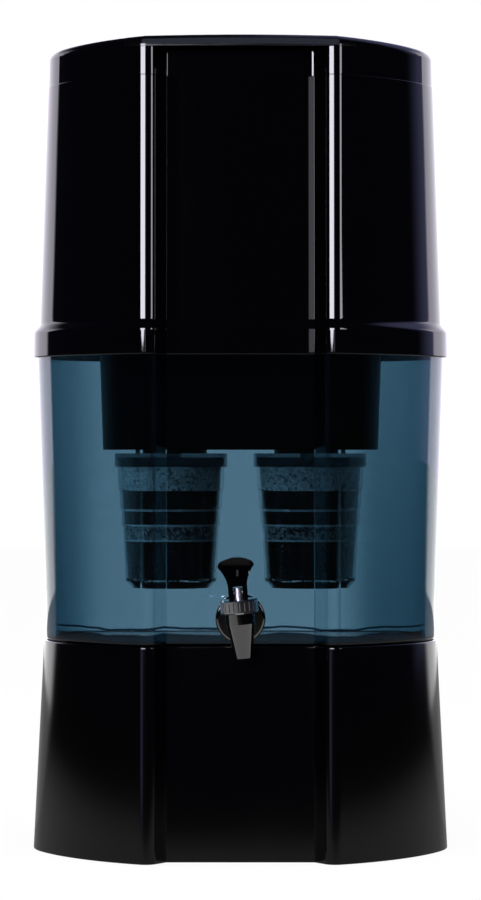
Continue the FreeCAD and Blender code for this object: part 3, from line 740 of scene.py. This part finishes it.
def painted_reflection_share(tree, place, split):
    """How much of the painted dark reflection of the stand, a wavy line and the foot, shows at the
    container's front.
    """
    blotch = clouds(tree, place, blotch_scale, soft_detail)
    wave = node(tree, "ShaderNodeMath", operation="MULTIPLY_ADD")
    wave.inputs[1].default_value = bottom_wave
    tree.links.new(blotch.outputs["Fac"], wave.inputs[0])
    tree.links.new(split.outputs["Z"], wave.inputs[2])
    height = wave.outputs[0]
    over = smooth_ramp(tree, height, line_low, line_low + line_blend)
    under = smooth_ramp(tree, height, line_high, line_high + line_blend, 1.0, 0.0)
    line = reckoned(tree, "MULTIPLY", over, under)
    foot = smooth_ramp(tree, height, foot_dark, foot_dark + 2 * line_blend, 1.0, 0.0)
    dark_reflection = reckoned(tree, "MAXIMUM", line, foot)
    in_front = smooth_ramp(tree, split.outputs["Y"], reflection_front_full, reflection_front_end, 1.0, 0.0)
    return reckoned(tree, "MULTIPLY", dark_reflection, in_front)


def absorbing_clear(name, colour, density, rough):
    """Clear plastic that takes its colour from its thickness, with painted shade deeper towards the
    sides and a painted dark reflection along its front foot.
    """
    made, tree, shader = new_finish(name)
    make_clear(shader)
    place = node(tree, "ShaderNodeTexCoord")
    split = node(tree, "ShaderNodeSeparateXYZ")
    tree.links.new(place.outputs["Object"], split.inputs[0])
    across = reckoned(tree, "ADD", split.outputs["X"], side_shift)
    to_side = smooth_ramp(tree, reckoned(tree, "ABSOLUTE", across), side_start, side_end)
    rise = split.outputs["Z"]
    deeper = smooth_ramp(tree, rise, container_z, container_top, 1.0, side_top_share)
    share = reckoned(tree, "MULTIPLY", to_side, deeper)
    # Painted shade: the wall is darker towards the sides, less so higher up
    side_shaded = mixed(tree, share, grey(1.0), painted_side_shade)
    # Painted reflection: a dark wavy line and foot at the front, standing for the black stand seen in
    # the thick floor
    dark_reflection = painted_reflection_share(tree, place, split)
    tree.links.new(mixed(tree, dark_reflection, side_shaded, painted_foot_reflection), shader.inputs["Base Color"])
    uneven_gloss(tree, shader, clouds(tree, place, clear_cloud_scale, soft_detail), rough, gloss_spread)
    soak = node(tree, "ShaderNodeVolumeAbsorption", Color=(*colour, 1), Density=density)
    tree.links.new(soak.outputs[0], tree.nodes["Material Output"].inputs["Volume"])
    return made


def clouded(name, scale, detail, rough, dim, bright):
    """A material whose colour and gloss wander softly, and its shader."""
    made, tree, shader = new_finish(name)
    cloud = clouds(tree, node(tree, "ShaderNodeTexCoord"), scale, detail)
    colour = mixed(tree, cloud.outputs["Fac"], dim, bright)
    tree.links.new(colour, shader.inputs["Base Color"])
    uneven_gloss(tree, shader, cloud, rough, gloss_spread)
    return made, shader


def tinted_clear(name, tint, rough):
    """Clear tinted plastic."""
    dim = grey(1 - tint_spread, tint)
    bright = grey(1 + tint_spread, tint)
    made, shader = clouded(name, clear_cloud_scale, soft_detail, rough, dim, bright)
    make_clear(shader)
    return made


def metal(name, colour, rough):
    """Bright plated metal with faint clouding."""
    dim = grey(metal_dimmest, colour)
    made, shader = clouded(name, metal_cloud_scale, fine_detail, rough, dim, colour)
    shader.inputs["Metallic"].default_value = 1.0
    return made


def grains(name, tones, size, rough=0.7, contrast=0.5):
    """Loose grains: cells of uneven tone with rounded bumps."""
    made, tree, shader = new_finish(name)
    shader.inputs["Roughness"].default_value = rough
    place = node(tree, "ShaderNodeTexCoord")
    cells = pattern(tree, place, "ShaderNodeTexVoronoi", feature="F1", Scale=1.0 / size)
    tone = node(tree, "ShaderNodeSeparateColor")
    tree.links.new(cells.outputs["Color"], tone.inputs[0])
    spread = reckoned(tree, "POWER", tone.outputs[0], contrast)
    tree.links.new(mixed(tree, spread, *tones), shader.inputs["Base Color"])
    bump = node(tree, "ShaderNodeBump", Strength=grain_bump, Distance=size)
    bump.invert = True
    tree.links.new(cells.outputs["Distance"], bump.inputs["Height"])
    tree.links.new(bump.outputs[0], shader.inputs["Normal"])
    return made


def stand_half(z):
    """Half width of the stand at a height."""
    return foot_half_width - stand_lean * z


def container_half(z):
    """Half width of the lower container at a height."""
    return container_top_half - container_lean * (container_top - z)


def vessel_half(z):
    """Half width of the upper container's wall at a height."""
    return collar_half - shoulder_step - vessel_lean * (z - container_top - shoulder_rise)


def ways_across(outline, axis, place):
    """The lowest and highest crossing of an outline with a line square to an axis."""
    found = []
    for a, b in zip(outline, outline[1:] + outline[:1]):
        if (a[axis] - place) * (b[axis] - place) < 0:
            t = (place - a[axis]) / (b[axis] - a[axis])
            found.append(a[1 - axis] + t * (b[1 - axis] - a[1 - axis]))
    return min(found), max(found)


def add_block(bm, low, high):
    """A closed block between two corners."""
    made = bmesh.ops.create_cube(bm, size=1)["verts"]
    for vertex in made:
        for axis in range(3):
            middle = (low[axis] + high[axis]) / 2
            vertex.co[axis] = middle + vertex.co[axis] * (high[axis] - low[axis])


def make_stand(material):
    """Hollow flared stand with a deck, ribs under it and a rim round its top."""
    under_deck = container_z - stand_deck
    rings = [(container_z, stand_half(stand_height), stand_rim_wall)]
    rings.append((container_z + support, stand_half(stand_height), stand_rim_wall))
    rings.append((stand_height - support, stand_half(stand_height), stand_rim_wall))
    rings.append((stand_height, stand_half(stand_height), stand_rim_wall + support / 4))
    rings += reversed(edge_round(stand_height, stand_half, stand_top_round, 0, 1, 1))
    near_top = stand_height - stand_top_round - support
    near_foot = stand_foot_round + support
    rings.append((near_top, stand_half(near_top), 0))
    for share in reversed(wall_shares):
        rings.append((stand_height * share, stand_half(stand_height * share), 0))
    rings.append((near_foot, stand_half(near_foot), 0))
    rings += edge_round(0, stand_half, stand_foot_round, 0, -1, 1)
    rings.append((0, foot_half_width, stand_wall))
    rings.append((support, foot_half_width, stand_wall))
    rings.append((under_deck, stand_half(under_deck), stand_wall))
    bm = bmesh.new()
    rows = ring_wall(bm, rings)
    bm.faces.new(rows[0])
    bm.faces.new(rows[-1])
    inside = whole_outline(stand_half(under_deck), stand_wall / 2)
    rib_z = under_deck - rib_depth
    rib_top = under_deck + support
    half_rib = rib_wall / 2
    off_middle = rib_wall / 10
    for place in (-rib_spacing, 0, rib_spacing):
        front, back = ways_across(inside, 0, place + off_middle)
        add_block(bm, (place - half_rib, front, rib_z), (place + half_rib, back, rib_top))
    left, right = ways_across(inside, 1, off_middle)
    add_block(bm, (left, -half_rib, rib_z), (right, half_rib, rib_top))
    bmesh.ops.recalc_face_normals(bm, faces=bm.faces)
    mesh = bpy.data.meshes.new("stand_shell")
    bm.to_mesh(mesh)
    return finish_mesh("stand_shell", mesh, material, "base", "base_stand")


def cut_tap_hole(piece):
    """Cut the tap's round hole through the front panel."""
    tap_z = stand_height + tap_rise
    panel_y = recess_depth - foot_front + foot_half_width - container_half(tap_z)
    bm = bmesh.new()
    bmesh.ops.create_cone(
        bm,
        cap_ends=True,
        segments=tap_hole_sides,
        radius1=tap_hole_radius,
        radius2=tap_hole_radius,
        depth=4 * container_wall,
    )
    tool_mesh = bpy.data.meshes.new("tap_hole_tool")
    bm.to_mesh(tool_mesh)
    tool = bpy.data.objects.new("tap_hole_tool", tool_mesh)
    tool.location = (0, panel_y + container_wall / 2, tap_z)
    tool.rotation_euler = (math.pi / 2 + math.atan(container_lean), 0, 0)
    scene.collection.objects.link(tool)
    cut = piece.modifiers.new("tap_hole", "BOOLEAN")
    cut.operation = "DIFFERENCE"
    cut.solver = "EXACT"
    cut.object = tool
    bpy.context.view_layer.update()
    evaluated = piece.evaluated_get(bpy.context.evaluated_depsgraph_get())
    mesh = bpy.data.meshes.new_from_object(evaluated)
    piece.modifiers.clear()
    piece.data = mesh
    bpy.data.objects.remove(tool)


def make_container(material):
    """Clear container with round bottom corners."""
    def foot(z, radius, inset, steps=8):
        rings = []
        for k in range(steps + 1):
            turn = math.pi / 2 * k / steps
            height = z + radius * (1 - math.cos(turn))
            rings.append((height, container_half(height), inset + radius * (1 - math.sin(turn))))
        return rings

    floor = container_z + container_wall
    rings = foot(container_z, container_corner, 0)
    for share in (container_first_share, *wall_shares):
        z = container_z + container_corner + share * (container_top - container_z)
        rings.append((z, container_half(z), 0))
    near_top = container_top - container_rim_round - support
    rings.append((near_top, container_half(near_top), 0))
    rings += edge_round(container_top, container_half, container_rim_round, 0, 1, 1)
    rings += reversed(
        edge_round(container_top, container_half, container_rim_round, container_wall, 1, -1)
    )
    rings.append((near_top, container_half(near_top), container_wall))
    for share in (*reversed(wall_shares), container_first_share):
        z = floor + container_inner_corner + share * (container_top - floor)
        rings.append((z, container_half(z), container_wall))
    rings += reversed(foot(floor, container_inner_corner, container_wall))
    bm = bmesh.new()
    rows = ring_wall(bm, rings)
    bm.faces.new(rows[0])
    bm.faces.new(rows[-1])
    bmesh.ops.recalc_face_normals(bm, faces=bm.faces)
    mesh = bpy.data.meshes.new("clear_container")
    bm.to_mesh(mesh)
    piece = finish_mesh(
        "clear_container", mesh, material, "lower_container", "lower_container"
    )
    cut_tap_hole(piece)
    piece.data.set_sharp_from_angle(angle=sharp_angle)
    return piece


def mouth_row(bm, z, steps=12):
    """The round-cornered mouth of the tub as a closed row of points at one height."""
    row = []
    for quarter, (sx, sy) in enumerate([(1, -1), (1, 1), (-1, 1), (-1, -1)]):
        for k in range(steps + 1):
            turn = math.radians(-90 + 90 * quarter + 90 * k / steps)
            row.append(
                bm.verts.new((
                    sx * (mouth_half_length - mouth_corner) + mouth_corner * math.cos(turn),
                    sy * (mouth_half_depth - mouth_corner) + mouth_corner * math.sin(turn),
                    z,
                ))
            )
    return row


def fill_between(bm, outer, inner):
    """Triangles between a closed outline and a closed hole in it, at one height."""
    edges = []
    for row in (outer, inner):
        for a, b in zip(row, row[1:] + row[:1]):
            found = bm.edges.get((a, b))
            edges.append(found if found else bm.edges.new((a, b)))
    bmesh.ops.triangle_fill(bm, use_beauty=True, edges=edges, normal=(0, 0, 1))


def make_vessel(material):
    """Upper container: collar, shoulder, wall, and a deck with the tub's mouth."""
    collar_top = container_top + collar_round
    collar_top_half = collar_half - collar_lean * (collar_top - collar_z)
    vessel_z = container_top + shoulder_rise
    drop = collar_top_half - vessel_half(vessel_z)

    def collar_at(z):
        return collar_half - collar_lean * (z - collar_z)

    near_foot = collar_z + collar_foot_round + support
    rings = [(container_top, container_half(container_top), -collar_gap)]
    rings.append((container_top - support, container_half(container_top - support), -collar_gap))
    rings.append((collar_z + support, container_half(collar_z + support), -collar_gap))
    rings.append((collar_z, container_half(collar_z), -collar_gap))
    rings += reversed(edge_round(collar_z, collar_at, collar_foot_round, 0, -1, 1, steps=6))
    rings.append((near_foot, collar_at(near_foot), 0))
    rings.append((container_top, collar_at(container_top), 0))
    rings.append((collar_top - support, collar_at(collar_top - support), 0))
    for k in range(shoulder_steps + 1):
        t = k / shoulder_steps
        rings.append((
            collar_top + (vessel_z - collar_top) * t,
            collar_top_half - drop * (3 * t * t - 2 * t * t * t),
            0,
        ))
    for share in (vessel_first_share, *wall_shares):
        z = vessel_z + share * (vessel_top - vessel_z)
        rings.append((z, vessel_half(z), 0))
    near_rim = vessel_top - vessel_rim_round - support
    rings.append((near_rim, vessel_half(near_rim), 0))
    rings += edge_round(vessel_top, vessel_half, vessel_rim_round, 0, 1, 1)
    rings.append((vessel_top, vessel_half(vessel_top), vessel_wall))
    rings.append((vessel_top - support, vessel_half(vessel_top - support), vessel_wall))
    rings.append((vessel_z, vessel_half(vessel_z), vessel_wall))
    rings.append((container_top + vessel_deck, vessel_half(vessel_z), vessel_wall))
    bm = bmesh.new()
    rows = ring_wall(bm, rings)
    under = mouth_row(bm, container_top)
    over = mouth_row(bm, container_top + vessel_deck)
    for k in range(len(under)):
        following = (k + 1) % len(under)
        bm.faces.new((under[k], under[following], over[following], over[k]))
    fill_between(bm, rows[0], under)
    fill_between(bm, rows[-1], over)
    bmesh.ops.recalc_face_normals(bm, faces=bm.faces)
    mesh = bpy.data.meshes.new("vessel_shell")
    bm.to_mesh(mesh)
    return finish_mesh(
        "vessel_shell", mesh, material, "upper_container", "upper_container"
    )


def dress_cad_nodes():
    """Every node of the frame gets its own finish by its material slot."""
    finishes = {
        "stand_black": black_plastic(
            "stand_black", rough=0.09, dark=stand_dark, pale=stand_pale, dust=1.0
        ),
        "container_clear": absorbing_clear(
            "container_clear", clear_colour, clear_density, rough=0.004
        ),
        "upper_black": black_plastic("upper_black", rough=0.035),
        "lid_black": black_plastic("lid_black", rough=0.06),
        "hatch_black": black_plastic("hatch_black", rough=0.16),
        "pin_steel": metal("pin_steel", pin_grey, rough=0.25),
        "filter_cup_smoke": tinted_clear("filter_cup_smoke", cup_tint, rough=0.03),
        "filter_cap_smoke": tinted_clear("filter_cap_smoke", cap_tint, rough=0.05),
        "seal_rubber": black_plastic("seal_rubber", rough=0.5, pale=rubber_pale),
        "nut_plastic": black_plastic("nut_plastic", rough=0.35),
        "strainer_plastic": grains("strainer_plastic", strainer_tones, strainer_grain),
        "granules": grains("granules", granule_tones, granule_grain),
        "carbon": grains("carbon", carbon_tones, carbon_grain),
        "mineral": grains("mineral", mineral_tones, mineral_grain, contrast=1.2),
        "felt": grains("felt", felt_tones, felt_grain, rough=0.95),
        "tap_black": black_plastic("tap_black", rough=0.08, dust=0.1),
        "tap_chrome": metal("tap_chrome", chrome_grey, rough=0.08),
        "tap_silicone": grains("tap_silicone", silicone_tones, silicone_grain, rough=0.5),
        "stem_chrome": metal("stem_chrome", stem_grey, rough=0.35),
        "lever_black": black_plastic("lever_black", rough=0.05, dust=0.1),
    }
    lever_shader = finishes["lever_black"].node_tree.nodes["Principled BSDF"]
    lever_shader.inputs["Specular IOR Level"].default_value = lever_specular
    slots = {part["node"]: part["material_slot"] for part in frame["record"]["subparts"]}
    for name, part in frame["nodes"].items():
        part.data.materials.clear()
        part.data.materials.append(finishes[slots[name]])
    tub = black_plastic("tub_black", rough=0.35, pale=tub_pale)
    tub_shader = tub.node_tree.nodes["Principled BSDF"]
    tub_shader.inputs["Specular IOR Level"].default_value = tub_specular
    frame["nodes"]["filter_tub"].data.materials.clear()
    frame["nodes"]["filter_tub"].data.materials.append(tub)
    return finishes


set_up_camera()
set_up_world()
set_up_floor()
set_up_lamps()
finish_of = dress_cad_nodes()
light_the_stand(make_stand(finish_of["stand_black"]))
make_container(finish_of["container_clear"])
make_vessel(finish_of["upper_black"])
